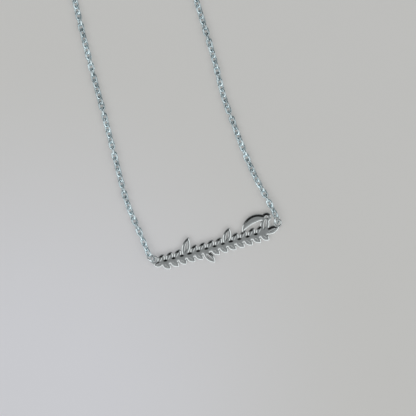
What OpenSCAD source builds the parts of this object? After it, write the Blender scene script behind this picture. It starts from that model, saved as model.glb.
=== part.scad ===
// A bar necklace: a flat leaf-branch nameplate on a fine cable chain, laid out as a whole loop.
// Millimetres. X runs along the plate, Y up the loop, and the back of the plate lies on z = 0.

/* [Plate] */
// Thickness of the plate
plate_t = 1.2; // [1:0.1:1.6]
// Spacing of the leaves along the stem
leaf_pitch = 2.4; // [2.35:0.05:2.45]
// Length of a common leaf
leaf_len = 3.1; // [3:0.1:3.2]
// Width of a common leaf
leaf_w = 1.95; // [1.9:0.05:2]
// Angle between the stem and a common leaf
leaf_angle = 52; // [50:1:54]
// Width of the stem
stem_w = 1.7; // [1.6:0.1:1.8]
// Widest part of the slit through a tall leaf
slit_w = 0.5; // [0.4:0.02:0.6]

/* [Rings] */
// Wire of the ear rings soldered to the plate's ends
ear_wire = 0.45; // [0.4:0.05:0.5]
// Radius of an ear ring, to the middle of its wire
ear_r = 1; // [0.95:0.05:1.05]
// Wire of the jump rings
jump_wire = 0.5; // [0.4:0.05:0.5]
// Radius of a jump ring, to the middle of its wire
jump_r = 1.15; // [1.1:0.05:1.2]
// How steeply a jump ring leans from lying flat
jump_lean = 58; // [55:1:62]

/* [Chain] */
// Outer width of the chain, across its links
chain_w = 1.9; // [1.6:0.1:1.9]
// Spacing of the rings that the chain's tube is swept through
ring_step = 5.5; // [5.4:0.1:6]

/* [Clasp] */
// Radius of the spring ring, to the middle of its tube
clasp_r = 2.45; // [2.3:0.05:2.5]
// Diameter of the spring ring's tube
clasp_tube = 1.2; // [1:0.05:1.25]
// Radius of the catch ring, to the middle of its wire
catch_r = 1.6; // [1.55:0.05:1.65]
// Wire of the catch ring
catch_wire = 0.6; // [0.5:0.05:0.6]

/* [Hidden] */
$fn = 64;
X = 0;
Y = 1;
Z = 2;
RADIUS = 2;

// The plate's own zero is its lower edge, at the middle of its length.
plate_pos = [0.5, -104.1];
stem_y = 2.15;
stem_ends = [-15.7, 14.8];
// Where the first leaf of each side starts, how many follow, and how deep their feet sit in the stem.
first_up = -16.5;
first_low = -15.6;
up_count = 13;
low_count = 13;
foot_inset = 0.15;
// The slit through a tall leaf: its share of the leaf's length, and where its middle lies.
slit_share = 0.5;
slit_middle = 0.56;

// Leaves that differ from the common one: which of its side, length, width, angle.
WHICH = 0;
LEN = 1;
WID = 2;
ANG = 3;
TALL_LEAVES = [
    [3, 5.8, 2.35, 61],
    [8, 5.1, 2.3, 60]
];
DROP_LEAVES = [
    [5, 4.9, 2.25, -61]
];

// Leaves that end the stem and carry the ears: foot, length, width, angle.
FOOT = 0;
END_LEAVES = [
    [[-15.2, 2.1], 2.9, 2, 178],
    [[14.2, 2], 4.8, 2.2, 10]
];
// The tall leaf at the right end, which the tendril grows from.
TENDRIL_LEAF = [[13.9, 2], 5.2, 2.6, 64];
// The tendril is what the first circle leaves outside the second: centre and radius of each.
TENDRIL_OUTER = [12.9, 3.4, 4.6];
TENDRIL_INNER = [14.6, -6, 11.8];
// The curl that ends it, with an eye through its middle.
CURL = [16.1, 6.3, 1.35];
eye_r = 0.35;

EAR_LEFT = [-17.5, 3.7];
EAR_RIGHT = [18.7, 3.9];
// The way each jump ring leads from its ear to the chain, as an angle from +X.
jump_way_left = 118;
jump_way_right = 78;

// Height of the ears' wire, just under the plate's face.
ear_sink = 0.02;
ear_z = plate_t - ear_wire / 2 - ear_sink;

// The half circle that closes the loop, its radius, and the angles at which the chains end on it.
arc_pos = [0, 88];
arc_r = 15;
left_last = 113;
right_last = 69;
arc_step = 15;

// The clasp's middle, how far it is tipped up on the catch ring, and its soldered eye and knob.
clasp_pos = [0.5, 103];
clasp_tip = 12;
clasp_lift = 0.01;
clasp_z = clasp_tube / 2 + clasp_r * sin(clasp_tip) + clasp_lift;
eye_ring_r = 0.95;
eye_ring_wire = 0.45;
eye_rise = 0.6;
knob_angle = 60;
knob_w = 0.7;
knob_h = 1.1;
catch_gap = 0.45;
eye_way = 188;
catch_way = -14;

// Routes of the two chains, from the plate up to the start of the half circle.
LEFT_SIDE = [
    [-18.5, -98], [-18.5, -93], [-19, -89], [-19.5, -84], [-19.5, -78], [-19, -68], [-18.5, -56],
    [-18, -42], [-17.1, -26], [-15.7, -8], [-15, 15], [-15, 50], [-15, 88]
];
RIGHT_SIDE = [
    [19.5, -97.4], [18.1, -92], [16.8, -86], [15.7, -77], [15.2, -70], [14.7, -62], [15.1, -50],
    [15, -38], [14.7, -15], [15, 15], [15, 50], [15, 88]
];
tube_sides = 8;

function heading(angle) = [cos(angle), sin(angle)];

// Flat shapes of the plate.

// A pointed oval along Y between two arcs
module lens(length, width) {
    bow = (length * length + width * width) / (4 * width);
    intersection() {
        translate([bow - width / 2, 0]) circle(r = bow);
        translate([width / 2 - bow, 0]) circle(r = bow);
    }
}

// A leaf that grows from its foot at an angle from the stem
module leaf(foot, length, width, angle) {
    translate(foot) rotate(angle - 90) translate([0, length / 2]) lens(length, width);
}

// The slit along a tall leaf's middle
module slit(foot, length, angle) {
    translate(foot) rotate(angle - 90) translate([0, length * slit_middle])
        lens(length * slit_share, slit_w);
}

function up_foot(i) = [first_up + i * leaf_pitch, stem_y - foot_inset];
function low_foot(i) = [first_low + i * leaf_pitch, stem_y + foot_inset];

// The row of leaf i: its own one where the table has it, or else the common one
function row_of(i, rows, common) = concat([for (row = rows) if (row[WHICH] == i) row], [common])[0];
function up_row(i) = row_of(i, TALL_LEAVES, [i, leaf_len, leaf_w, leaf_angle]);
function low_row(i) = row_of(i, DROP_LEAVES, [i, leaf_len, leaf_w, -leaf_angle]);

module leaves() {
    for (i = [0 : up_count - 1])
        leaf(up_foot(i), up_row(i)[LEN], up_row(i)[WID], up_row(i)[ANG]);
    for (i = [0 : low_count - 1])
        leaf(low_foot(i), low_row(i)[LEN], low_row(i)[WID], low_row(i)[ANG]);
    for (row = END_LEAVES) leaf(row[FOOT], row[LEN], row[WID], row[ANG]);
}

module slits() {
    for (row = TALL_LEAVES) slit(up_foot(row[WHICH]), row[LEN], row[ANG]);
    for (row = DROP_LEAVES) slit(low_foot(row[WHICH]), row[LEN], row[ANG]);
    slit(TENDRIL_LEAF[FOOT], TENDRIL_LEAF[LEN], TENDRIL_LEAF[ANG]);
    translate([CURL[X], CURL[Y]]) circle(r = eye_r);
}

module stem() {
    translate([stem_ends[0], stem_y - stem_w / 2]) square([stem_ends[1] - stem_ends[0], stem_w]);
}

module tendril() {
    difference() {
        translate([TENDRIL_OUTER[X], TENDRIL_OUTER[Y]]) circle(r = TENDRIL_OUTER[RADIUS]);
        translate([TENDRIL_INNER[X], TENDRIL_INNER[Y]]) circle(r = TENDRIL_INNER[RADIUS]);
    }
    leaf(TENDRIL_LEAF[FOOT], TENDRIL_LEAF[LEN], TENDRIL_LEAF[WID], TENDRIL_LEAF[ANG]);
    translate([CURL[X], CURL[Y]]) circle(r = CURL[RADIUS]);
}

// A ring of round wire that lies flat at its own middle
module wire_ring(radius, wire) {
    rotate_extrude() translate([radius, 0]) circle(d = wire);
}

module pendant() {
    color("silver") translate([plate_pos[X], plate_pos[Y], 0]) {
        linear_extrude(plate_t) difference() {
            union() {
                leaves();
                stem();
                tendril();
            }
            slits();
        }
        for (ear = [EAR_LEFT, EAR_RIGHT])
            translate([ear[X], ear[Y], ear_z]) wire_ring(ear_r, ear_wire);
    }
}

// A leaning ring. It stands on z = 0, and its wire passes height z_hole above the point given.
module leaning_ring(hole, z_hole, way, radius, wire, lean) {
    z_mid = radius * sin(lean) + wire / 2;
    low = asin((z_mid - z_hole) / (radius * sin(lean)));
    ahead = heading(way) * radius * cos(low);
    aside = heading(way + 90) * radius * sin(low) * cos(lean);
    translate([hole[X] + ahead[X] + aside[X], hole[Y] + ahead[Y] + aside[Y], z_mid])
        rotate([0, 0, way]) rotate([lean, 0, 0]) wire_ring(radius, wire);
}

module jump_ring_left() {
    color("silver")
        leaning_ring(plate_pos + EAR_LEFT, ear_z, jump_way_left, jump_r, jump_wire, jump_lean);
}

module jump_ring_right() {
    color("silver")
        leaning_ring(plate_pos + EAR_RIGHT, ear_z, jump_way_right, jump_r, jump_wire, jump_lean);
}

// The chain's tube: a smooth curve through its route, with rings of points joined into one skin.

function arc_point(angle) = arc_pos + arc_r * heading(angle);
left_route = concat(
    LEFT_SIDE,
    [for (angle = [180 - arc_step : -arc_step : left_last]) arc_point(angle)],
    [arc_point(left_last)]
);
right_route = concat(
    RIGHT_SIDE,
    [for (angle = [arc_step : arc_step : right_last]) arc_point(angle)],
    [arc_point(right_last)]
);

// A point of the curve between b and c at share t, with a and d the points before and after
function curve(a, b, c, d, t) =
    b + t * (c - a) / 2
    + pow(t, 2) * (a - 2.5 * b + 2 * c - d / 2)
    + pow(t, 3) * (1.5 * (b - c) + (d - a) / 2);

function before(route, i) = i == 0 ? 2 * route[0] - route[1] : route[i - 1];
function after(route, i) = i + 2 < len(route) ? route[i + 2] : 2 * route[i + 1] - route[i];

function swept(route) = concat(
    [for (i = [0 : len(route) - 2])
        let (steps = max(1, round(norm(route[i + 1] - route[i]) / ring_step)))
        for (k = [0 : steps - 1])
            curve(before(route, i), route[i], route[i + 1], after(route, i), k / steps)],
    [route[len(route) - 1]]
);

function along(path, i) =
    let (step = path[min(i + 1, len(path) - 1)] - path[max(i - 1, 0)])
    step / norm(step);

function tube_ring(path, i, radius) =
    let (ahead = along(path, i), side = [ahead[Y], -ahead[X]], middle = radius * cos(180 / tube_sides))
    [for (k = [0 : tube_sides - 1])
        let (turn = (k + 0.5) * 360 / tube_sides, out = radius * cos(turn) * side)
        [path[i][X] + out[X], path[i][Y] + out[Y], middle + radius * sin(turn)]];

module chain_tube(route) {
    path = swept(route);
    radius = chain_w / 2;
    points = [for (i = [0 : len(path) - 1]) each tube_ring(path, i, radius)];
    last = (len(path) - 1) * tube_sides;
    skin = [for (i = [0 : len(path) - 2]) for (k = [0 : tube_sides - 1])
        let (a = i * tube_sides + k, b = i * tube_sides + (k + 1) % tube_sides)
        [a, b, b + tube_sides, a + tube_sides]];
    start_cap = [for (k = [tube_sides - 1 : -1 : 0]) k];
    end_cap = [for (k = [0 : tube_sides - 1]) last + k];
    polyhedron(points, concat(skin, [start_cap, end_cap]));
}

module chain_left() {
    color("lightsteelblue") chain_tube(left_route);
}

module chain_right() {
    color("lightsteelblue") chain_tube(right_route);
}

// The clasp: a spring ring in one plain piece, with a soldered eye and a thumb knob. It lies with
// its eye's end down and its far side tipped up on the catch ring.

// Where a point of the clasp, measured from its own middle, comes to lie
function tipped(p) = [
    clasp_pos[X] + p[X] * cos(clasp_tip) - p[Z] * sin(clasp_tip),
    clasp_pos[Y] + p[Y],
    clasp_z + p[X] * sin(clasp_tip) + p[Z] * cos(clasp_tip)
];
eye_offset = [-(clasp_r + clasp_tube / 2 + eye_ring_r - eye_ring_wire / 2), 0, eye_rise];
eye_pos = tipped(eye_offset);
catch_pos = tipped([clasp_r - clasp_tube / 2 - catch_wire / 2 - catch_gap, 0, 0]);

module clasp() {
    color("silver") translate(tipped([0, 0, 0])) rotate([0, -clasp_tip, 0]) {
        wire_ring(clasp_r, clasp_tube);
        rotate([0, 0, knob_angle]) translate([clasp_r, 0, 0]) rotate([0, 90, 0])
            cylinder(d = knob_w, h = knob_h);
        translate(eye_offset) rotate([0, clasp_tip, 0]) wire_ring(eye_ring_r, eye_ring_wire);
    }
}

module clasp_jump_ring() {
    color("silver") leaning_ring(eye_pos, eye_pos[Z], eye_way, jump_r, jump_wire, jump_lean);
}

module catch_ring() {
    color("silver")
        leaning_ring(catch_pos, catch_pos[Z], catch_way, catch_r, catch_wire, jump_lean);
}

pendant();
jump_ring_left();
jump_ring_right();
chain_left();
chain_right();
clasp_jump_ring();
clasp();
catch_ring();
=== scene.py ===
# %% [markdown]
# # A leaf-branch nameplate necklace
# This notebook gives a fine steel necklace its looks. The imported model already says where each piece
# lies and how big it is, in metres, so nothing here is moved or resized. What it lacks is finish: the
# plate's softly rounded edges, the single links of the chain, the cut in each jump ring, the parts of
# the clasp, and the polish of the metal.

# %% Load the fixed frame
import math

import bmesh
import bpy
import numpy as np
from mathutils import Matrix, Vector
from mathutils.geometry import delaunay_2d_cdt


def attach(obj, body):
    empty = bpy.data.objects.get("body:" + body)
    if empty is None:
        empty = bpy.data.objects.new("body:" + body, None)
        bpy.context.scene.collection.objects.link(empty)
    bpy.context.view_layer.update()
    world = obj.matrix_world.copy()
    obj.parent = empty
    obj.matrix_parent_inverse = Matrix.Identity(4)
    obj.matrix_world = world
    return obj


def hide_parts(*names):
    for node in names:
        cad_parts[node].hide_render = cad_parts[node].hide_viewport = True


MM = 0.001
X_AXIS, Y_AXIS, Z_AXIS = Vector((1, 0, 0)), Vector((0, 1, 0)), Vector((0, 0, 1))

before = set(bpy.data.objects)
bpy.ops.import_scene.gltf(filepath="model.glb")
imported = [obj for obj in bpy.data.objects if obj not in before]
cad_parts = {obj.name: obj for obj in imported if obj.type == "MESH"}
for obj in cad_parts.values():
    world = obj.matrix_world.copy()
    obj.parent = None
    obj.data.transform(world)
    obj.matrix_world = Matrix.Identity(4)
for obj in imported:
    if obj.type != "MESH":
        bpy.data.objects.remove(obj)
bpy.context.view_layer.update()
print("pieces in the frame:", sorted(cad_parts))

# %% [markdown]
# ## The camera
# The necklace lies on a table and is seen from almost straight above, turned a little, so that the plate
# climbs to the right and both chains leave the picture at its top edge. A long lens at arm's length
# keeps the plate free of perspective. The camera is set by the width of one pixel on the table, so that
# the plate comes out at its own size.

# %% Camera
PIXEL = 0.28 * MM
PICTURE_PIXELS = 416
CAMERA_DISTANCE = 450 * MM
CAMERA_TURN = math.radians(16.5)
CAMERA_ELEVATION = math.radians(98)
LOOK_AT = Vector((1.65, -90.75, 0)) * MM

picture_right = Vector((math.cos(CAMERA_TURN), -math.sin(CAMERA_TURN), 0))
picture_up = Vector((math.sin(CAMERA_TURN), math.cos(CAMERA_TURN), 0))
camera_back = math.sin(CAMERA_ELEVATION) * Z_AXIS - math.cos(CAMERA_ELEVATION) * picture_up
camera_up = math.sin(CAMERA_ELEVATION) * picture_up + math.cos(CAMERA_ELEVATION) * Z_AXIS

lens = bpy.data.cameras.new("camera")
lens.lens = lens.sensor_width * CAMERA_DISTANCE / (PICTURE_PIXELS * PIXEL)
lens.clip_start = 10 * MM
camera = bpy.data.objects.new("camera", lens)
bpy.context.scene.collection.objects.link(camera)
camera.matrix_world = Matrix.Translation(LOOK_AT + camera_back * CAMERA_DISTANCE) @ Matrix(
    [picture_right, camera_up, camera_back]).transposed().to_4x4()
bpy.context.scene.camera = camera
print(f"lens {lens.lens:.0f} mm, camera {camera.location.z * 1000:.0f} mm above the table")

# %% [markdown]
# ## Writing shaders as sums
# A shader is a graph of nodes, and a graph is hard to read in a script. This small class wraps one
# output of a node, so that `1 - mask` adds a Math node and links it. Every other kind of node comes from
# `node()`, which sets the node's own settings first and its sockets after them. Geometry Nodes trees use
# the same class.

# %% A socket that Python can calculate with
class Socket:
    """One output of a node; or, with no output, the way to start a tree."""

    def __init__(self, tree, output=None):
        self.tree = tree
        self.output = output

    def node(self, kind, settings=None, values=None, outlet=0):
        """A new node with its settings and sockets filled in, as one of its outputs."""
        made = self.tree.nodes.new(kind)
        for name, setting in (settings or {}).items():
            if name == "stops":
                set_stops(made.color_ramp, setting)
            else:
                setattr(made, name, setting)
        for name, value in (values or {}).items():
            if isinstance(value, Socket):
                self.tree.links.new(value.output, made.inputs[name])
            else:
                made.inputs[name].default_value = value
        return Socket(self.tree, made.outputs[outlet] if made.outputs else None)

    def maths(self, operation, first, second):
        """A Math node. Where an operation takes one number, the second has no effect."""
        return self.node("ShaderNodeMath", {"operation": operation}, {0: first, 1: second})

    def blend(self, low, high):
        """The colour low where this socket is 0, and high where it is 1."""
        return self.node("ShaderNodeMix", {"data_type": "RGBA"}, {0: self, 6: low, 7: high}, outlet=2)

    def smooth(self, low, high):
        """0 up to low, 1 from high on, and a soft slope between them."""
        return self.node("ShaderNodeMapRange", {"interpolation_type": "SMOOTHSTEP"},
                         {"Value": self, "From Min": low, "From Max": high})

    def __add__(self, other):
        return self.maths("ADD", self, other)

    def __mul__(self, other):
        return self.maths("MULTIPLY", self, other)

    def __sub__(self, other):
        return self.maths("SUBTRACT", self, other)

    def __rsub__(self, other):
        return self.maths("SUBTRACT", other, self)

    __radd__ = __add__
    __rmul__ = __mul__


def set_stops(ramp, stops):
    """Gives a colour ramp its stops: (place, colour) pairs in order."""
    while len(ramp.elements) < len(stops):
        ramp.elements.new(1)
    for element, (place, colour) in zip(ramp.elements, stops):
        element.position = place
        element.color = (*colour, 1)


def grey(value):
    """A colour with three equal parts."""
    return (value, value, value)

# %% [markdown]
# ## The light
# Polished metal has no colour of its own: it shows the room. This room is a photographer's tent of grey
# cloth. Round its top runs a ring of white light, and the grey middle of that ring is what the flat face
# of the plate mirrors. Towards the top of the picture the ring is broken. Black cards hang there, with a
# strip of dark cloth between them, and every edge that leans that way turns black. All the other edges
# catch the ring and draw a fine bright line. Below the ring the cloth is grey, so that the metal isn't
# black from a low side either. Light from so high up throws only faint shadows, close to the metal, and
# the table's painted glow of its own makes them fainter still.

# %% The room, from the way each ray looks
TENT_STOPS = [
    (0.00, grey(0.16)),
    (0.10, grey(0.18)),
    (0.22, grey(0.40)),
    (0.42, grey(0.48)),
    (0.49, grey(1.65)),
    (0.82, grey(1.65)),
    (0.88, grey(0.40)),
    (1.00, grey(0.35)),
]
CARD_WAY, CARD_SPREAD = -5, 0.25
CARD_EDGE = (-0.03, 0.01)
CARD_STOPS = [
    (0.00, grey(0.16)),
    (0.10, grey(0.18)),
    (0.22, grey(0.40)),
    (0.60, grey(0.46)),
    (0.71, grey(0.006)),
    (0.82, grey(0.006)),
    (0.85, grey(0.13)),
    (0.94, grey(0.13)),
    (0.955, grey(0.006)),
]
ROOM_STRENGTH = 1.0

world = bpy.data.worlds.new("room")
world.use_nodes = True
world.node_tree.nodes.clear()
bpy.context.scene.world = world
start = Socket(world.node_tree)
direction = start.node("ShaderNodeTexCoord", outlet="Generated")


def level_way(degrees):
    """A level direction, counted clockwise from the top of the picture."""
    return math.cos(math.radians(degrees)) * picture_up + math.sin(math.radians(degrees)) * picture_right


def share_of(axis):
    """How far the ray looks along an axis: 1 along it, -1 against it."""
    return start.node("ShaderNodeVectorMath", {"operation": "DOT_PRODUCT"},
                      {0: direction, 1: axis}, outlet=1)


height = share_of(Z_AXIS)
tent = start.node("ShaderNodeValToRGB", {"stops": TENT_STOPS}, {0: height})
aside = share_of(level_way(CARD_WAY + 90))
towards = share_of(level_way(CARD_WAY)) - aside.maths("ABSOLUTE", aside, 0.0) * CARD_SPREAD
cards = start.node("ShaderNodeValToRGB", {"stops": CARD_STOPS}, {0: height})
room = towards.smooth(*CARD_EDGE).blend(tent, cards)
sky = start.node("ShaderNodeBackground", values={"Color": room, "Strength": ROOM_STRENGTH})
start.node("ShaderNodeOutputWorld", values={"Surface": sky})
bpy.context.scene.view_settings.view_transform = "Standard"
print("the black cards hang towards", [round(x, 2) for x in level_way(CARD_WAY)])

# %% [markdown]
# ## The table
# A plain pale surface, matt like a sheet of card. It reaches far past the picture, so that no other view
# shows its end. Its colour holds painted light: a soft pool of cooler light at the lower left, and a faint
# glow of the card's own, which makes the shadows fainter.

# %% The table and its card
TABLE_HALF = 3.0
TABLE_COLOUR = (0.510, 0.510, 0.497)
# The glow colour is a pool of cooler light, painted into the card's colour around GLOW_MIDDLE.
GLOW_COLOUR = (0.578, 0.584, 0.612)
# The card reflects only part of its colour and glows with the rest: painted light that fades its shadows.
TABLE_REFLECTED_SHARE, TABLE_PAINTED_GLOW = 0.70, 0.510
MOTTLE_A_METRE, MOTTLE_DARK = 60.0, 0.985
GRAIN_A_METRE, GRAIN_DEPTH = 2500.0, 0.05 * MM
GLOW_MIDDLE = Vector((-65, -132, 0)) * MM
GLOW_REACH = (15 * MM, 105 * MM)


def new_material(name):
    """An empty material, and the way to start its tree."""
    material = bpy.data.materials.new(name)
    material.use_nodes = True
    material.node_tree.nodes.clear()
    return material, Socket(material.node_tree)


def pale_card():
    """Matt card, with a painted pool of cooler light to the lower left of the necklace, and a painted
    glow.
    """
    material, start = new_material("pale_card")
    place = start.node("ShaderNodeTexCoord", outlet="Object")
    mottle = start.node("ShaderNodeTexNoise",
                        values={"Vector": place, "Scale": MOTTLE_A_METRE, "Detail": 6.0})
    # Painted light: the colour turns cooler and paler towards GLOW_MIDDLE, as if a lamp shone there.
    gap = start.node("ShaderNodeVectorMath", {"operation": "DISTANCE"},
                     {0: place, 1: GLOW_MIDDLE}, outlet=1)
    glow = gap.smooth(*GLOW_REACH).blend((*GLOW_COLOUR, 1), (*TABLE_COLOUR, 1))
    shade = mottle.blend((*grey(MOTTLE_DARK), 1), (*grey(1), 1))
    colour = start.node("ShaderNodeMix", {"data_type": "RGBA", "blend_type": "MULTIPLY"},
                        {0: 1.0, 6: glow, 7: shade}, outlet=2)
    grain = start.node("ShaderNodeTexNoise",
                       values={"Vector": place, "Scale": GRAIN_A_METRE, "Detail": 2.0})
    bump = start.node("ShaderNodeBump",
                      values={"Height": grain, "Strength": 0.15, "Distance": GRAIN_DEPTH})
    # Painted light: part of the colour is emission, so the card glows by itself and its shadows fade.
    reflecting = start.node("ShaderNodeVectorMath", {"operation": "SCALE"}, {0: colour, 3: TABLE_REFLECTED_SHARE})
    surface = start.node("ShaderNodeBsdfPrincipled", values={
        "Base Color": reflecting, "Roughness": 0.75, "Normal": bump, "Emission Color": colour,
        "Emission Strength": TABLE_PAINTED_GLOW})
    start.node("ShaderNodeOutputMaterial", values={"Surface": surface})
    return material


def new_piece(name, points, faces, material):
    """A mesh object at the origin, with its place in its points."""
    mesh = bpy.data.meshes.new(name)
    mesh.from_pydata([tuple(p) for p in points], [], [tuple(int(i) for i in f) for f in faces])
    mesh.materials.append(material)
    mesh.update()
    piece = bpy.data.objects.new(name, mesh)
    bpy.context.scene.collection.objects.link(piece)
    return piece


corners = [(x, y, 0) for x, y in ((-1, -1), (1, -1), (1, 1), (-1, 1))]
table = new_piece("table", np.array(corners) * TABLE_HALF, [(0, 1, 2, 3)], pale_card())
print("table", TABLE_HALF * 2, "m wide")

# %% [markdown]
# ## Polished steel
# The whole necklace is stainless steel, polished in a tumbling barrel. That leaves it bright but not a
# perfect mirror: its gloss varies softly from place to place, and hair-fine scratches run all over it.
# Both are noise on object coordinates. The plate's flat face is a little softer than the wire, and each
# link of the chain has a tone of its own, which comes from an attribute.

# %% One recipe for the metal, with a few values for each use
CLOUDS_A_METRE = 420.0
SCRATCHES_A_METRE = (1500.0, 14000.0, 9000.0)
SCRATCH_WAY = (0.4, 0.7, 0.6)
SCRATCH_DEPTH = 0.004 * MM
DARKEST_CLOUD = 0.96


def polished_steel(name, colour, gloss, smudge, scratch, link_tone=0.0):
    """gloss is the roughness, smudge how far it varies, and scratch how deep the scratches are."""
    material, start = new_material(name)
    place = start.node("ShaderNodeTexCoord", outlet="Object")
    cloud = start.node("ShaderNodeTexNoise",
                       values={"Vector": place, "Scale": CLOUDS_A_METRE, "Detail": 3.0})
    roughness = cloud.smooth(0.3, 0.7) * smudge + gloss
    lines = start.node("ShaderNodeMapping", values={
        "Vector": place, "Rotation": SCRATCH_WAY, "Scale": SCRATCHES_A_METRE})
    hair = start.node("ShaderNodeTexNoise", values={"Vector": lines, "Scale": 1.0, "Detail": 4.0})
    bump = start.node("ShaderNodeBump",
                      values={"Height": hair, "Strength": scratch, "Distance": SCRATCH_DEPTH})
    tint = cloud.blend((*[DARKEST_CLOUD * c for c in colour], 1), (*colour, 1))
    if link_tone:
        tone = start.node("ShaderNodeAttribute", {"attribute_name": "link_tone"}, outlet="Fac")
        tint = tone.blend((*[(1 - link_tone) * c for c in colour], 1), tint)
    surface = start.node("ShaderNodeBsdfPrincipled", values={
        "Base Color": tint, "Metallic": 1.0, "Roughness": roughness, "Normal": bump})
    start.node("ShaderNodeOutputMaterial", values={"Surface": surface})
    return material


plate_steel = polished_steel("plate_steel", (0.57, 0.605, 0.608), gloss=0.11, smudge=0.04, scratch=0.25)
ring_steel = polished_steel("ring_steel", (0.78, 0.86, 0.88), gloss=0.10, smudge=0.05, scratch=0.2)
chain_steel = polished_steel("chain_steel", (0.71, 0.835, 0.875), gloss=0.1, smudge=0.04, scratch=0.2,
                             link_tone=0.32)
clasp_steel = polished_steel("clasp_steel", (0.72, 0.73, 0.74), gloss=0.12, smudge=0.06, scratch=0.25)
print("finishes:", [m.name for m in (plate_steel, ring_steel, chain_steel, clasp_steel)])

# %% [markdown]
# ## The plate's outline
# A laser cuts the plate from sheet, and tumbling rounds its upper edge. A Bevel modifier would trip over
# the narrow notches between the leaves. So the plate is built by distance instead: a point's height
# depends only on how far it lies from the outline. The outline itself is read from the frame's own
# plate. Its corners, the leaf tips and notches, stay sharp, and the short straight chords between them
# become smooth arcs again.

# %% Read the outline from the frame
PLATE_TOP = 1.2
CORNER_TURN = 24
OUTLINE_STEP = 0.11
SAME_PLACE = 0.002
SLIT_LENGTH = 3


def face_loops(node, height):
    """The edges of a node's flat top, in millimetres, each a loop with the metal on its left."""
    mesh = bmesh.new()
    mesh.from_mesh(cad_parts[node].data)
    bmesh.ops.remove_doubles(mesh, verts=mesh.verts, dist=SAME_PLACE * MM)
    top = [f for f in mesh.faces if all(abs(v.co.z / MM - height) < SAME_PLACE for v in f.verts)]
    on_top = set(top)
    ahead = {}
    for face in top:
        for loop in face.loops:
            if sum(other in on_top for other in loop.edge.link_faces) == 1:
                ahead[loop.vert] = loop.link_loop_next.vert
    loops = []
    while ahead:
        first = next(iter(ahead))
        loop, vert = [], first
        while vert in ahead:
            loop.append((vert.co.x / MM, vert.co.y / MM))
            vert = ahead.pop(vert)
        loops.append(np.array(loop))
    mesh.free()
    return loops


def cross(a, b):
    """The area between two flat vectors: above 0 where b lies to the left of a."""
    return a[..., 0] * b[..., 1] - a[..., 1] * b[..., 0]


def unit(vectors):
    """The same vectors with a length of 1."""
    return vectors / np.linalg.norm(vectors, axis=-1, keepdims=True)


def turns(loop):
    """The angle in degrees by which a loop turns left at each of its points."""
    ahead = unit(np.roll(loop, -1, 0) - loop)
    before = np.roll(ahead, 1, 0)
    return np.degrees(np.arctan2(cross(before, ahead), (before * ahead).sum(1)))


def refine(loop):
    """Arcs through a loop's points, a short step at a time. Where it has a corner, the corner stays."""
    chord = np.roll(loop, -1, 0) - loop
    ahead = np.linalg.norm(chord, axis=1)[:, None]
    before = np.roll(ahead, 1, 0)
    way = chord / ahead
    tangent = unit(np.roll(way, 1, 0) * ahead + way * before)
    corner = np.abs(turns(loop)) > CORNER_TURN
    points = []
    for i in range(len(loop)):
        j = (i + 1) % len(loop)
        leave, arrive = tangent[i], tangent[j]
        if corner[i]:
            leave = way[i] if corner[j] else 2 * (arrive @ way[i]) * way[i] - arrive
        if corner[j]:
            arrive = way[i] if corner[i] else 2 * (leave @ way[i]) * way[i] - leave
        steps = max(1, round(float(ahead[i, 0]) / OUTLINE_STEP))
        for t in np.arange(steps) / steps:
            bow = (t * (1 - t) ** 2) * leave - (t * t * (1 - t)) * arrive
            points.append(loop[i] + chord[i] * (3 * t * t - 2 * t ** 3) + bow * ahead[i])
    return np.array(points)


outline = [refine(loop) for loop in face_loops("pendant", PLATE_TOP)]
open_loops = [loop for loop in outline if np.ptp(loop, axis=0).max() > SLIT_LENGTH]
slit_loops = [loop for loop in outline if np.ptp(loop, axis=0).max() <= SLIT_LENGTH]
print("outline:", [len(loop) for loop in open_loops], "points")
print("slits and eye:", [len(loop) for loop in slit_loops], "points")

# %% [markdown]
# ## The plate's rounded edge
# Rings of points follow the outline at set distances inside it, close together where the edge is steep.
# In a notch they fan out, and past the middle of a narrow tip they are dropped, because there the other
# edge is nearer. A Delaunay triangulation joins whatever is left, and the height of each point comes
# from its true distance.

# %% Distances from the outline, and rings inside it
FAN_STEP = 15
KEEP_SHARE = 0.985
POINTS_AT_ONCE = 1500


def distance_to(loops, points):
    """How far each point lies from the nearest edge of some loops."""
    starts = np.concatenate(loops)
    spans = np.concatenate([np.roll(loop, -1, 0) - loop for loop in loops])
    square = (spans ** 2).sum(1)
    found = []
    for some in np.array_split(points, max(1, len(points) // POINTS_AT_ONCE)):
        gap = some[:, None] - starts
        share = np.clip((gap * spans).sum(2) / square, 0, 1)[..., None]
        found.append(np.sqrt(((gap - share * spans) ** 2).sum(2).min(1)))
    return np.concatenate(found)


def inside_outline(points):
    """True where a point lies on the metal, by counting the edges to its right."""
    starts = np.concatenate(outline)
    ends = np.concatenate([np.roll(loop, -1, 0) for loop in outline])
    found = []
    for some in np.array_split(points, max(1, len(points) // POINTS_AT_ONCE)):
        x, y = some[:, :1], some[:, 1:]
        spans = (starts[:, 1] > y) != (ends[:, 1] > y)
        rise = np.where(ends[:, 1] == starts[:, 1], 1, ends[:, 1] - starts[:, 1])
        cut = starts[:, 0] + (y - starts[:, 1]) * (ends[:, 0] - starts[:, 0]) / rise
        found.append((spans & (cut > x)).sum(1) % 2 == 1)
    return np.concatenate(found)


def inner_ring(loop, depth):
    """Points at one depth inside a loop. The metal is on the loop's left."""
    way = unit(np.roll(loop, -1, 0) - loop)
    normal = np.stack([-way[:, 1], way[:, 0]], 1)
    ring = []
    for point, turn, before, ahead in zip(loop, turns(loop), np.roll(normal, 1, 0), normal):
        if turn < -CORNER_TURN:
            count = round(-turn / FAN_STEP)
            base = math.atan2(before[1], before[0])
            angles = base + np.radians(turn) * np.arange(count + 1) / count
            ring.extend(point + depth * np.array([math.cos(a), math.sin(a)]) for a in angles)
        else:
            ring.append(point + depth * (before + ahead) / (1 + before @ ahead))
    return np.array(ring)


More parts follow.
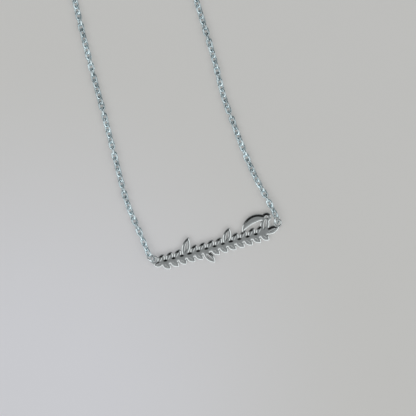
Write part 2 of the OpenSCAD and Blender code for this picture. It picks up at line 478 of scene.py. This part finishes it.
def rings_inside(loops, depths):
    """Rings at these depths inside some loops, without the points that another edge is nearer to."""
    kept = []
    for depth in depths:
        ring = np.concatenate([inner_ring(loop, depth) for loop in loops])
        kept.append(ring[distance_to(loops, ring) > KEEP_SHARE * depth])
    return np.concatenate(kept)


# %% [markdown]
# ## The engraved midribs
# A plain flat branch would look stamped from tin. On the real kind of plate the engraver cuts a fine
# line down the middle of every leaf. The lines are shallow grooves in the mesh, and they run out to
# nothing at both ends. They lie where the leaves do, so the few numbers that lay out the branch are
# repeated here in millimetres.

# %% Where the leaves grow
PLATE_ZERO = np.array([0.5, -104.1])
LEAF_PITCH = 2.4
COMMON_LEAF = {"length": 3.1, "angle": 52}
UPPER = {"first": -16.5, "y": 2.0, "count": 13, "side": 1, "own": {3: (5.8, 61), 8: (5.1, 60)}}
LOWER = {"first": -15.6, "y": 2.3, "count": 13, "side": -1, "own": {5: (4.9, 61)}}
END_LEAVES = [((-15.2, 2.1), 2.9, 178), ((14.2, 2.0), 4.8, 10)]
SLIT_LEAVES = {(1, 3), (1, 8), (-1, 5)}
RIB_FROM, RIB_TO = 0.16, 0.84


def heading(degrees):
    """A flat direction, counted counter-clockwise from +X."""
    return np.array([math.cos(math.radians(degrees)), math.sin(math.radians(degrees))])


def rib_lines():
    """Start and end of the groove in each leaf that has no slit."""
    lines = []
    for row in (UPPER, LOWER):
        for i in range(row["count"]):
            length, angle = row["own"].get(i, (COMMON_LEAF["length"], COMMON_LEAF["angle"]))
            if (row["side"], i) not in SLIT_LEAVES:
                foot = np.array([row["first"] + i * LEAF_PITCH, row["y"]])
                lines.append((foot, length, row["side"] * angle))
    lines += [(np.array(foot), length, angle) for foot, length, angle in END_LEAVES]
    return [(PLATE_ZERO + foot + RIB_FROM * length * heading(angle),
             PLATE_ZERO + foot + RIB_TO * length * heading(angle)) for foot, length, angle in lines]


ribs = rib_lines()
print(len(ribs), "midribs")

# %% The height of the plate's face at any point
FIRST_SLOPE, SECOND_SLOPE = 0.17, 0.42
OUTER_BEVEL = (0.68, 0.24)
SLIT_BEVEL = (0.22, 0.15)
EDGE_WIDTH, EDGE_DROP = 0.08, 0.1
ROUNDING = 0.0001
RIB_HALF, RIB_DEPTH = 0.08, 0.03
RIB_STEP = 0.08
SUPPORT = 0.05
EDGE_DEPTHS = [0.005, 0.02, 0.045, 0.08, 0.13, 0.15, 0.21, 0.23, 0.26]
BEVEL_DEPTHS = [0.32, 0.4, 0.5, 0.6, 0.67, 0.69, 0.74]
PLAIN_MARGIN = 0.2


def groove(points):
    """How deep the grooves are at each point: a soft V across, and fading at both ends."""
    depth = np.zeros(len(points))
    for start, end in ribs:
        span = end - start
        length = np.linalg.norm(span)
        gap = points - start
        along = gap @ span / length ** 2
        aside = np.abs(cross(span, gap)) / length
        across = np.clip(1 - aside / RIB_HALF, 0, 1)
        fade = np.sin(np.pi * np.clip(along, 0, 1)) ** 0.5
        depth = np.maximum(depth, RIB_DEPTH * fade * across ** 1.3)
    return depth


def from_edge(points):
    """Distance from the outline, and plain 0 on it, where a quarter round is at its steepest."""
    return np.maximum(distance_to(outline, points) - ROUNDING, 0)


def bevel_drop(distance, bevel):
    """How far a bevel falls: a shallow facet down to its second distance, and a steeper one there."""
    first, second = bevel
    shallow = FIRST_SLOPE * (first - np.clip(distance, second, first))
    return shallow + SECOND_SLOPE * (second - np.clip(distance, 0, second))


def crown(points):
    """Height of the face: flat, then two facets towards an edge, and a quarter round at its rim."""
    drop = np.maximum(bevel_drop(distance_to(open_loops, points), OUTER_BEVEL),
                      bevel_drop(distance_to(slit_loops, points), SLIT_BEVEL))
    edge = 1 - np.clip(from_edge(points) / EDGE_WIDTH, 0, 1)
    return PLATE_TOP - drop - EDGE_DROP * (1 - np.sqrt(1 - edge ** 2))


def rib_points():
    """Rows of points along each groove, as far as they stay on the flat of the face."""
    rows = [-RIB_HALF - SUPPORT, -RIB_HALF, -RIB_HALF / 2, 0, RIB_HALF / 2, RIB_HALF, RIB_HALF + SUPPORT]
    points = []
    for start, end in ribs:
        span = end - start
        length = np.linalg.norm(span)
        way = span / length
        side = np.array([-way[1], way[0]])
        steps = round(length / RIB_STEP)
        points += [start + way * length * k / steps + side * row for k in range(steps + 1) for row in rows]
    points = np.array(points)
    return points[distance_to(outline, points) > PLAIN_MARGIN]


print("bevel", OUTER_BEVEL[0], "mm wide; grooves", 2 * RIB_HALF, "mm wide")

# %% Triangulate the face and the back, and join them with a wall
BACK_EDGE = 0.12
BACK_DEPTHS = [0.035, BACK_EDGE, BACK_EDGE + SUPPORT]
FILL_STEP = 0.1
FILL_CLEAR = 0.075


def fill_points(taken):
    """A fine grid in the narrow tips, where rings were dropped, so that a ridge keeps its height."""
    edge = np.concatenate(outline)
    spans = [np.arange(low, high, FILL_STEP) for low, high in zip(edge.min(0), edge.max(0))]
    grid = np.stack(np.meshgrid(*spans), -1).reshape(-1, 2)
    grid = grid[inside_outline(grid)]
    clear = distance_to(outline, grid) > FILL_CLEAR
    grid = grid[(distance_to(open_loops, grid) < BEVEL_DEPTHS[-1]) & clear]
    taken_cells = {(x // FILL_CLEAR, y // FILL_CLEAR) for x, y in taken}
    around = [(i, j) for i in (-1, 0, 1) for j in (-1, 0, 1)]
    free = [(x, y) for x, y in grid
            if not any((x // FILL_CLEAR + i, y // FILL_CLEAR + j) in taken_cells for i, j in around)]
    return np.array(free).reshape(-1, 2)


def triangulate(extra):
    """Triangles between the outline's points and the extra ones, on the metal only."""
    points = np.concatenate([*outline, extra])
    edges, first = [], 0
    for loop in outline:
        edges += [(first + i, first + (i + 1) % len(loop)) for i in range(len(loop))]
        first += len(loop)
    flat = delaunay_2d_cdt([Vector(p) for p in points], edges, [], 0, 1e-6)
    places = np.array([tuple(p) for p in flat[0]])
    triangles = np.array(flat[2])
    return places, triangles[inside_outline(places[triangles].mean(1))]


def plate_shell():
    """Points in millimetres, and faces, of the whole closed plate."""
    bevel = rings_inside(open_loops, BEVEL_DEPTHS)
    bevel = bevel[distance_to(slit_loops, bevel) > EDGE_DEPTHS[-1]]
    extra = np.concatenate([rings_inside(outline, EDGE_DEPTHS), bevel, rib_points()])
    face, face_tris = triangulate(np.concatenate([extra, fill_points(extra)]))
    back, back_tris = triangulate(rings_inside(outline, BACK_DEPTHS))
    rise = crown(face) - groove(face)
    hollow = np.clip(1 - from_edge(back) / BACK_EDGE, 0, 1)
    lift = BACK_EDGE * (1 - np.sqrt(1 - hollow ** 2))
    points = [np.column_stack([face, rise]), np.column_stack([back, lift])]
    faces = [*face_tris, *(back_tris[:, ::-1] + len(face))]
    first = len(face) + len(back)
    for loop in outline:
        count = len(loop)
        pairs = [(i, (i + 1) % count) for i in range(count)]
        rim = crown(loop)
        levels = [np.full(count, BACK_EDGE), (BACK_EDGE + rim) / 2, rim]
        points += [np.column_stack([loop, level]) for level in levels]
        for level in range(len(levels) - 1):
            low, high = first + level * count, first + (level + 1) * count
            faces += [(low + i, low + j, high + j, high + i) for i, j in pairs]
        first += count * len(levels)
    return np.concatenate(points), faces


plate_points, plate_faces = plate_shell()
print("plate:", len(plate_points), "points,", len(plate_faces), "faces")

# %% [markdown]
# ## Wire and turned shapes
# Everything else on a necklace is wire bent to a ring, or a small turned bead. Two functions make all of
# it. `hoop` sweeps a round section along an arc and can make it thinner, open or dented as it goes.
# `turned` spins a short profile about an axis, for the knob of the clasp and the beads of solder.

# %% Two ways to make a shell
RING_SIDES = 14
TURNED_SIDES = 20
BEAD_STEPS = 8
SOME_WAY = [0.3, 0.5, 0.8]


def hoop(middle, across, up, radius, angles, section, sides, closed=True):
    """A tube along an arc in the plane of across and up. section(angle, turn) is its radius."""
    middle, across, up = (np.array(v, float) for v in (middle, across, up))
    normal = np.cross(across, up)
    turn = 2 * np.pi * np.arange(sides) / sides
    rings = []
    for angle in angles:
        out = across * math.cos(angle) + up * math.sin(angle)
        size = np.array([section(angle, t) for t in turn])[:, None]
        reach = radius + size * np.cos(turn)[:, None]
        rings.append(middle + out * reach + normal * size * np.sin(turn)[:, None])
    count = len(rings)
    pairs = [(k, (k + 1) % sides) for k in range(sides)]
    faces = []
    for i in range(count if closed else count - 1):
        low, high = i * sides, (i + 1) % count * sides
        faces += [(low + k, low + j, high + j, high + k) for k, j in pairs]
    if not closed:
        faces += [tuple(range(sides))[::-1], tuple((count - 1) * sides + k for k in range(sides))]
    return np.concatenate(rings), [f[::-1] for f in faces]


def turned(base, axis, profile):
    """A shape spun about an axis. profile is (height, radius) pairs, and its ends close to a point."""
    sides = TURNED_SIDES
    base, axis = np.array(base, float), unit(np.array(axis, float))
    across = unit(np.cross(axis, SOME_WAY))
    up = np.cross(axis, across)
    turn = 2 * np.pi * np.arange(sides) / sides
    circle = np.outer(np.cos(turn), across) + np.outer(np.sin(turn), up)
    points = [base + axis * height + circle * radius for height, radius in profile[1:-1]]
    points += [[base + axis * profile[0][0]], [base + axis * profile[-1][0]]]
    end = (len(profile) - 2) * sides
    top = end - sides
    pairs = [(k, (k + 1) % sides) for k in range(sides)]
    faces = [(low + k, low + j, low + sides + j, low + sides + k)
             for low in range(0, top, sides) for k, j in pairs]
    faces += [(end, j, k) for k, j in pairs]
    faces += [(end + 1, top + k, top + j) for k, j in pairs]
    return np.concatenate(points), faces


def bead(middle, half_height, radius):
    """A flattened ball, standing along Z."""
    angles = [math.pi * k / BEAD_STEPS for k in range(BEAD_STEPS + 1)]
    return turned(middle, Z_AXIS, [(-half_height * math.cos(a), radius * math.sin(a)) for a in angles])


def even(first, last, count):
    """Angles in radians from one number of degrees to another."""
    return np.radians(np.linspace(first, last, count))


def whole_ring(middle, radius, wire, corners):
    """A level ring of round wire."""
    angles = even(0, 360, corners + 1)[:-1]
    return hoop(middle, X_AXIS, Y_AXIS, radius, angles, lambda angle, turn: wire / 2, RING_SIDES)

# %% [markdown]
# ## Soldering shells together
# Soldered metal is one solid, so the shells are fused with Boolean unions. Shading follows: an edge
# sharper than a set angle stays crisp, as a leaf's ridge does, and every other one is smooth.

# %% Fuse shells into one piece
SHARP_ANGLE = math.radians(38)
WELD = 0.0004


def finish_mesh(piece):
    """Merges points that meet, and shades the mesh smooth apart from its sharp edges."""
    mesh = bmesh.new()
    mesh.from_mesh(piece.data)
    bmesh.ops.remove_doubles(mesh, verts=mesh.verts, dist=WELD * MM)
    bmesh.ops.dissolve_degenerate(mesh, edges=mesh.edges, dist=WELD * MM)
    mesh.to_mesh(piece.data)
    mesh.free()
    piece.data.shade_smooth()
    piece.data.set_sharp_from_angle(angle=SHARP_ANGLE)
    return piece


def evaluated_mesh(piece):
    """A plain mesh of a piece, with its modifiers applied."""
    return bpy.data.meshes.new_from_object(piece.evaluated_get(bpy.context.evaluated_depsgraph_get()))


def fuse(name, shells, material):
    """One closed mesh from several closed shells, given in millimetres."""
    pieces = [finish_mesh(new_piece(f"{name}_{i}", points * MM, faces, material))
              for i, (points, faces) in enumerate(shells)]
    body, tools = pieces[0], pieces[1:]
    for tool in tools:
        union = body.modifiers.new("solder", "BOOLEAN")
        union.operation, union.solver, union.object = "UNION", "MANIFOLD", tool
    fused = evaluated_mesh(body)
    for piece in pieces:
        bpy.data.objects.remove(piece)
    whole = bpy.data.objects.new(name, fused)
    fused.name = name
    bpy.context.scene.collection.objects.link(whole)
    return finish_mesh(whole)


def measure(piece):
    """Prints a piece's size, and says if its mesh has open or doubled edges."""
    mesh = bmesh.new()
    mesh.from_mesh(piece.data)
    loose = sum(not edge.is_manifold for edge in mesh.edges)
    triangles = sum(len(face.verts) - 2 for face in mesh.faces)
    size = [round(x / MM, 2) for x in piece.dimensions]
    volume = mesh.calc_volume() / MM ** 3
    print(f"{piece.name}: {size} mm, {triangles} triangles, {loose} open edges, {volume:.2f} mm3")
    mesh.free()


# %% [markdown]
# ## The nameplate with its ears
# A ring of thin wire is soldered to each end of the plate. The solder shows as a small bead where the
# wire runs into the metal. Those places are found, not typed in: they are where the ring's circle
# crosses the outline.

# %% The nameplate
EARS = [(-17.0, -100.4), (19.2, -100.2)]
EAR_RADIUS, EAR_WIRE = 1.0, 0.45
EAR_HEIGHT = 0.955
EAR_CORNERS = 72
BEAD_RADIUS, BEAD_HALF, BEAD_SINK = 0.34, 0.2, 0.03


def ear_shells(ear):
    """The wire ring and its beads of solder."""
    ring = whole_ring([*ear, EAR_HEIGHT], EAR_RADIUS, EAR_WIRE, EAR_CORNERS)
    angles = even(0, 360, 361)
    circle = np.array(ear) + EAR_RADIUS * np.stack([np.cos(angles), np.sin(angles)], 1)
    on_metal = inside_outline(circle)
    edges = np.flatnonzero(on_metal[1:] != on_metal[:-1])
    beads = [bead([*circle[i], EAR_HEIGHT - BEAD_SINK], BEAD_HALF, BEAD_RADIUS) for i in edges]
    return [ring, *beads]


ears = [shell for ear in EARS for shell in ear_shells(ear)]
nameplate = fuse("nameplate", [(plate_points, plate_faces), *ears], plate_steel)
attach(nameplate, "root")
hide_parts("pendant")
measure(nameplate)

# %% [markdown]
# ## The jump rings
# A jump ring is cut from a coil of wire and closed with pliers, which leaves a hairline gap between two
# flat ends. The frame holds each ring as a whole torus, so its middle, its tilt and its wire can all be
# measured from its own mesh. The new ring takes that place, with round wire and the gap turned to where
# it would not catch.

# %% Measure a torus, and cut it
CUT_GAP = 1.6
END_ROUND = 0.12
END_CORNERS, LONG_CORNERS = 4, 56
CUT_SIDES = 16


def torus_of(node):
    """Middle, two axes in its plane, radius and wire of a ring in the frame, in millimetres."""
    points = np.array([v.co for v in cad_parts[node].data.vertices]) / MM
    middle = (points.min(0) + points.max(0)) / 2
    directions = np.linalg.svd(points - points.mean(0), full_matrices=False)[2]
    normal = directions[2] * np.sign(directions[2][2])
    across = unit(np.cross(normal, Z_AXIS))
    gap = points - middle
    wire = 2 * np.abs(gap @ normal).max()
    flat = gap - np.outer(gap @ normal, normal)
    return middle, across, np.cross(normal, across), np.linalg.norm(flat, axis=1).max() - wire / 2, wire


def cut_ring(name, node, cut_at):
    """A ring of round wire with a hairline cut. cut_at is in degrees from its level axis."""
    middle, across, up, radius, wire = torus_of(node)
    half = CUT_GAP / 2
    ease = math.degrees(END_ROUND * wire / radius)
    angles = np.concatenate([
        even(half, half + ease, END_CORNERS),
        even(half + 2 * ease, 360 - half - 2 * ease, LONG_CORNERS),
        even(360 - half - ease, 360 - half, END_CORNERS),
    ]) + math.radians(cut_at)

    def section(angle, turn):
        from_end = math.degrees(min(angle - angles[0], angles[-1] - angle))
        return wire / 2 * (1 - END_ROUND * (1 - min(1, from_end / ease)) ** 2)

    shell = hoop(middle, across, up, radius, angles, section, CUT_SIDES, closed=False)
    ring = fuse(name, [shell], ring_steel)
    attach(ring, "root")
    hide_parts(node)
    print(f"{name}: middle {np.round(middle, 2)}, radius {radius:.2f}, wire {wire:.2f}")
    measure(ring)


cut_ring("ring_left", "jump_ring_left", 60)
cut_ring("ring_right", "jump_ring_right", 125)
cut_ring("ring_clasp", "clasp_jump_ring", 100)
cut_ring("ring_catch", "catch_ring", 75)

# %% [markdown]
# ## The chain
# A cable chain is one oval link, repeated, each turned a quarter against the last. On a table its links
# lie half way down, one leaning left and the next one right, so that two rows of wire run side by side.
# Every seventh link or so the chain rolls on by a quarter turn, and there one link lies flat and shows
# its hole. Geometry Nodes suit this: a curve for the route, a point for each link, one oval of wire set
# on every point, and a roll worked out from the link's number. Leaning links are lower than upright
# ones, so each point also sinks until its link meets the table. The route repeats the points of the
# frame's own tubes.

# %% Routes of the two sides
LEFT_SIDE = [
    (-18.5, -98), (-18.5, -93), (-19, -89), (-19.5, -84), (-19.5, -78), (-19, -68), (-18.5, -56),
    (-18, -42), (-17.1, -26), (-15.7, -8), (-15, 15), (-15, 50), (-15, 88),
]
RIGHT_SIDE = [
    (19.5, -97.4), (18.1, -92), (16.8, -86), (15.7, -77), (15.2, -70), (14.7, -62), (15.1, -50),
    (15, -38), (14.7, -15), (15, 15), (15, 50), (15, 88),
]
ARC_MIDDLE, ARC_RADIUS = np.array([0, 88]), 15
LEFT_ARC = [165, 150, 135, 120]
RIGHT_ARC = [15, 30, 45, 60]
LINK_LENGTH, LINK_WIDTH, LINK_WIRE = 2.76, 1.86, 0.58
LINK_PITCH = 1.6
LINKS_A_ROLL = 7.4
WANDER, DRIFT_STEP, SEED_STEP = 0.5, 0.09, 7.3
LEAN_HOLD = 0.95
LINK_FALL = 15
END_LINKS = 6
CHAIN_MIDDLE = LINK_WIDTH / 2
ROUTE_STEPS = 24


def smooth_route(points):
    """A curve through the points, as the frame's tube follows it."""
    points = np.array(points, float)
    padded = np.concatenate([[2 * points[0] - points[1]], points, [2 * points[-1] - points[-2]]])
    t = (np.arange(ROUTE_STEPS) / ROUTE_STEPS)[:, None]
    route = [b + t * (c - a) / 2 + t ** 2 * (a - 2.5 * b + 2 * c - d / 2)
             + t ** 3 * (1.5 * (b - c) + (d - a) / 2)
             for a, b, c, d in zip(padded, padded[1:], padded[2:], padded[3:])]
    return np.concatenate([*route, points[-1:]])


def trimmed(route, cut):
    """The route without its first and last stretch, and its length."""
    steps = np.linalg.norm(np.diff(route, axis=0), axis=1)
    gone = np.concatenate([[0], np.cumsum(steps)])
    marks = np.linspace(cut, gone[-1] - cut, len(route))
    return np.stack([np.interp(marks, gone, route[:, k]) for k in range(3)], 1), gone[-1] - 2 * cut


def hooked(node, towards):
    """Where a link's bar hooks into a ring: inside its wire, on the side of the point towards."""
    middle, _, _, radius, wire = torus_of(node)
    way = unit(np.array([*towards, middle[2]]) - middle)
    return middle + way * (radius - (wire + LINK_WIRE) / 2)


def chain_route(side, arc, first_ring, last_ring):
    """Points of a chain's middle line in millimetres. A side's first point only aims its hook."""
    points = list(side[1:]) + [tuple(ARC_MIDDLE + ARC_RADIUS * heading(a)) for a in arc]
    lifted = [(x, y, CHAIN_MIDDLE) for x, y in points]
    return smooth_route([hooked(first_ring, side[0]), *lifted, hooked(last_ring, points[-1])])


left_route = chain_route(LEFT_SIDE, LEFT_ARC, "jump_ring_left", "clasp_jump_ring")
right_route = chain_route(RIGHT_SIDE, RIGHT_ARC, "jump_ring_right", "catch_ring")
print("routes:", [len(r) for r in (left_route, right_route)], "points")

# %% A Geometry Nodes tree that sets links along a curve
LINK_INPUTS = {
    "Links": "NodeSocketInt",
    "Link Length": "NodeSocketFloat",
    "Link Width": "NodeSocketFloat",
    "Wire": "NodeSocketFloat",
    "Lean": "NodeSocketFloat",
    "Rolls": "NodeSocketFloat",
    "First Bend": "NodeSocketFloat",
    "Last Bend": "NodeSocketFloat",
    "Fall": "NodeSocketFloat",
    "Wander": "NodeSocketFloat",
    "Seed": "NodeSocketInt",
    "Material": "NodeSocketMaterial",
}
LINK_CORNERS, WIRE_SIDES = 14, 6


def link_tree():
    """The tree. Its inputs are the link's sizes, how it rolls, and a seed."""
    tree = bpy.data.node_groups.new("links_on_a_curve", "GeometryNodeTree")
    tree.interface.new_socket("Geometry", in_out="INPUT", socket_type="NodeSocketGeometry")
    tree.interface.new_socket("Geometry", in_out="OUTPUT", socket_type="NodeSocketGeometry")
    for name, kind in LINK_INPUTS.items():
        tree.interface.new_socket(name, in_out="INPUT", socket_type=kind)
    start = Socket(tree)
    entry = tree.nodes.new("NodeGroupInput")
    given = {name: Socket(tree, entry.outputs[name]) for name in ("Geometry", *LINK_INPUTS)}

    spots = start.node("GeometryNodeCurveToPoints", {"mode": "COUNT"},
                       {"Curve": given["Geometry"], "Count": given["Links"]})
    tangent = Socket(tree, spots.output.node.outputs["Tangent"])
    number = start.node("GeometryNodeInputIndex")
    drift = start.node("ShaderNodeTexNoise", {"noise_dimensions": "1D"},
                       {"W": number * DRIFT_STEP + given["Seed"] * SEED_STEP, "Scale": 1.0, "Detail": 1.0})
    to_last = given["Links"] - 1 - number
    first_share = 1 - number.smooth(0.0, END_LINKS)
    last_share = 1 - to_last.smooth(0.0, END_LINKS)
    share = number.maths("DIVIDE", number, given["Links"] - 1)
    over = share * given["Rolls"] + (drift - 0.5) * given["Wander"]
    wave = over.maths("SINE", over * (2 * math.pi), 0.0)
    roll = ((number + over - wave * (LEAN_HOLD / (2 * math.pi))) * (math.pi / 2) + given["Lean"]
            + first_share * given["First Bend"] + last_share * given["Last Bend"])
    level = start.node("FunctionNodeAlignRotationToVector", {"axis": "X", "pivot_axis": "Z"},
                       {"Vector": tangent})
    free_share = (1 - first_share) * (1 - last_share)
    fall = roll.maths("SINE", roll * 2, 0.0) * given["Fall"] * free_share
    about = start.node("FunctionNodeAxisAngleToRotation",
                       values={"Axis": X_AXIS, "Angle": roll - fall})
    turn = start.node("FunctionNodeRotateRotation", {"rotation_space": "LOCAL"},
                      {"Rotation": level, "Rotate By": about})

    half_length = (given["Link Length"] - given["Wire"]) * 0.5
    half_width = (given["Link Width"] - given["Wire"]) * 0.5
    circle = start.node("GeometryNodeCurvePrimitiveCircle",
                        values={"Resolution": LINK_CORNERS, "Radius": half_width})
    along = start.node("ShaderNodeSeparateXYZ", values={0: start.node("GeometryNodeInputPosition")})
    apart = along.maths("SIGN", along, 0.0) * (half_length - half_width)
    oval = start.node("GeometryNodeSetPosition", values={
        "Geometry": circle, "Offset": start.node("ShaderNodeCombineXYZ", values={0: apart})})
    section = start.node("GeometryNodeCurvePrimitiveCircle",
                         values={"Resolution": WIRE_SIDES, "Radius": given["Wire"] * 0.5})
    link = start.node("GeometryNodeCurveToMesh", values={"Curve": oval, "Profile Curve": section})

    upright = roll.maths("ABSOLUTE", roll.maths("SINE", roll - fall, 0.0), 0.0)
    next_upright = roll.maths("ABSOLUTE", roll.maths("COSINE", roll + fall, 0.0), 0.0)
    sink = (upright.maths("MAXIMUM", upright, next_upright) - 1) * half_width * free_share
    sunk = start.node("GeometryNodeSetPosition", values={
        "Geometry": spots, "Offset": start.node("ShaderNodeCombineXYZ", values={2: sink})})
    set_out = start.node("GeometryNodeInstanceOnPoints",
                         values={"Points": sunk, "Instance": link, "Rotation": turn})
    tone = start.node("FunctionNodeRandomValue", {"data_type": "FLOAT"}, {"Seed": given["Seed"]}, outlet=1)
    toned = start.node("GeometryNodeStoreNamedAttribute", {"data_type": "FLOAT", "domain": "INSTANCE"},
                       {"Geometry": set_out, "Name": "link_tone", "Value": tone})
    real = start.node("GeometryNodeRealizeInstances", values={"Geometry": toned})
    smooth = start.node("GeometryNodeSetShadeSmooth", values={"Geometry": real})
    done = start.node("GeometryNodeSetMaterial",
                      values={"Geometry": smooth, "Material": given["Material"]})
    start.node("NodeGroupOutput", values={"Geometry": done})
    return tree


links_on_a_curve = link_tree()
print(len(links_on_a_curve.nodes), "nodes in the link tree")

# %% Set the links and make plain meshes of them
def ring_roll(node, way):
    """The roll in degrees of a ring's plane about a heading, from lying flat."""
    _, across, up, _, _ = torus_of(node)
    normal = np.cross(across, up)
    side = np.array([-way[1], way[0], 0])
    return math.degrees(math.atan2(-(normal @ side), normal[2]))


def half_turned(degrees):
    """The same lie of a link, as an angle between -90 and 90 degrees."""
    return (degrees + 90) % 180 - 90


def lay_chain(name, node, route, first_ring, last_ring, seed):
    """Links along a route. The first and the last lie across the rings that they hook into."""
    bar_to_bar = LINK_LENGTH - LINK_WIRE
    line, length = trimmed(route, bar_to_bar / 2)
    links = round(length / LINK_PITCH) + 1
    first_roll = ring_roll(first_ring, unit(line[1] - line[0])) + 90
    last_roll = ring_roll(last_ring, unit(line[-1] - line[-2])) + 90
    lean = 45 + 90 * round((first_roll - 45) / 90)
    rolls = round((links - 1) / LINKS_A_ROLL)
    if abs(half_turned(last_roll - lean - 90 * (links - 1 + rolls))) > 45:
        rolls += 1
    last_bend = half_turned(last_roll - lean - 90 * (links - 1 + rolls))

    curve = bpy.data.curves.new(name, "CURVE")
    curve.dimensions = "3D"
    spline = curve.splines.new("POLY")
    spline.points.add(len(line) - 1)
    spline.points.foreach_set("co", np.column_stack([line * MM, np.ones(len(line))]).ravel())
    guide = bpy.data.objects.new(name + "_guide", curve)
    bpy.context.scene.collection.objects.link(guide)
    modifier = guide.modifiers.new("links", "NODES")
    modifier.node_group = links_on_a_curve
    chosen = {
        "Links": links,
        "Link Length": LINK_LENGTH * MM,
        "Link Width": LINK_WIDTH * MM,
        "Wire": LINK_WIRE * MM,
        "Lean": math.radians(lean),
        "Rolls": float(rolls),
        "First Bend": math.radians(first_roll - lean),
        "Last Bend": math.radians(last_bend),
        "Fall": math.radians(LINK_FALL),
        "Wander": WANDER,
        "Seed": seed,
        "Material": chain_steel,
    }
    for item in links_on_a_curve.interface.items_tree:
        if item.in_out == "INPUT" and item.name in chosen:
            modifier[item.identifier] = chosen[item.name]
    mesh = evaluated_mesh(guide)
    bpy.data.objects.remove(guide)
    piece = bpy.data.objects.new(name, mesh)
    mesh.name = name
    bpy.context.scene.collection.objects.link(piece)
    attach(piece, "root")
    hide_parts(node)
    print(f"{name}: {links} links, {length / (links - 1):.3f} mm apart, {rolls} quarter rolls")
    measure(piece)


lay_chain("links_left", "chain_left", left_route, "jump_ring_left", "clasp_jump_ring", seed=3)
lay_chain("links_right", "chain_right", right_route, "jump_ring_right", "catch_ring", seed=8)

# %% [markdown]
# ## The spring ring clasp
# A spring ring is a hollow tube bent into most of a circle. A thinner bolt slides out of one end and
# closes the gap, pushed by a spring inside, and a knob on the bolt sticks out through a slot, so that a
# thumbnail can draw it back. An eye is soldered on the side away from the gap. The tube is one hoop
# whose section narrows at its two lips and dents in along the slot, and the bolt is a second, thinner
# hoop.

# %% The clasp
CLASP_MIDDLE = np.array([0.5, 103.0, 1.119])
CLASP_TIP = 12
CLASP_RADIUS, CLASP_TUBE, TUBE_SIDES = 2.45, 1.2, 36
TUBE_BENDS = range(56, 352, 4)
BOLT, BOLT_HIDDEN, BOLT_CORNERS, BOLT_SIDES = 0.86, 6, 24, 24
GATE = (-4, 50)
LIP, LIP_ROLL = 3.0, 0.1
SLOT, SLOT_WALL = (64, 108), 0.3
SLOT_DEPTH, SLOT_HALF = 0.26, 24
KNOB_AT, KNOB_START, KNOB_RADIUS = 60, 0.2, 0.35
KNOB_PROFILE = [
    (0, 0), (0, 0.7), (0.42, 0.7), (0.5, 0.95), (0.58, 1), (0.74, 1), (0.84, 0.85), (0.89, 0.5), (0.9, 0),
]
EYE_ACROSS, EYE_UP = -3.775, 0.6
EYE_RADIUS, EYE_WIRE, EYE_CORNERS = 0.95, 0.45, 60
SOLDER_RADIUS, SOLDER_HALF, SOLDER_SINK = 0.42, 0.28, 0.12

tip = math.radians(CLASP_TIP)
clasp_x = np.array([math.cos(tip), 0, math.sin(tip)])
clasp_z = np.array([-math.sin(tip), 0, math.cos(tip)])


def tube_section(angle, turn):
    """Radius of the clasp's tube: rolled in at its lips, and dented along the slot."""
    degrees = math.degrees(angle)
    from_lip = min(degrees - GATE[1], GATE[0] + 360 - degrees)
    size = CLASP_TUBE / 2 - LIP_ROLL * (1 - min(1, from_lip / LIP)) ** 2
    aside = math.degrees(min(turn, 2 * math.pi - turn))
    if SLOT[0] <= degrees <= SLOT[1] and aside < SLOT_HALF:
        size -= SLOT_DEPTH
    return size


def clasp_shells():
    """Tube, bolt, knob, eye and its solder, in millimetres."""
    first, last = GATE[1], GATE[0] + 360
    lips = {first, first + 1, first + LIP, last - LIP, last - 1, last}
    slot_ends = {SLOT[0] - SLOT_WALL, *SLOT, SLOT[1] + SLOT_WALL}
    bends = np.radians(sorted(lips | slot_ends | set(TUBE_BENDS)))
    tube = hoop(CLASP_MIDDLE, clasp_x, Y_AXIS, CLASP_RADIUS, bends, tube_section, TUBE_SIDES, closed=False)
    reach = even(GATE[0] - BOLT_HIDDEN, GATE[1] + BOLT_HIDDEN, BOLT_CORNERS)
    bolt = hoop(CLASP_MIDDLE, clasp_x, Y_AXIS, CLASP_RADIUS, reach, lambda angle, turn: BOLT / 2,
                BOLT_SIDES, closed=False)
    knob_at = math.radians(KNOB_AT)
    out = clasp_x * math.cos(knob_at) + np.array(Y_AXIS) * math.sin(knob_at)
    profile = [(height, share * KNOB_RADIUS) for height, share in KNOB_PROFILE]
    knob = turned(CLASP_MIDDLE + out * (CLASP_RADIUS + KNOB_START), out, profile)
    eye_middle = CLASP_MIDDLE + clasp_x * EYE_ACROSS + clasp_z * EYE_UP
    eye = whole_ring(eye_middle, EYE_RADIUS, EYE_WIRE, EYE_CORNERS)
    solder = bead(eye_middle + np.array([EYE_RADIUS, 0, -SOLDER_SINK]), SOLDER_HALF, SOLDER_RADIUS)
    return [tube, bolt, knob, eye, solder]


clasp = fuse("spring_ring", clasp_shells(), clasp_steel)
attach(clasp, "root")
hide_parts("clasp")
measure(clasp)
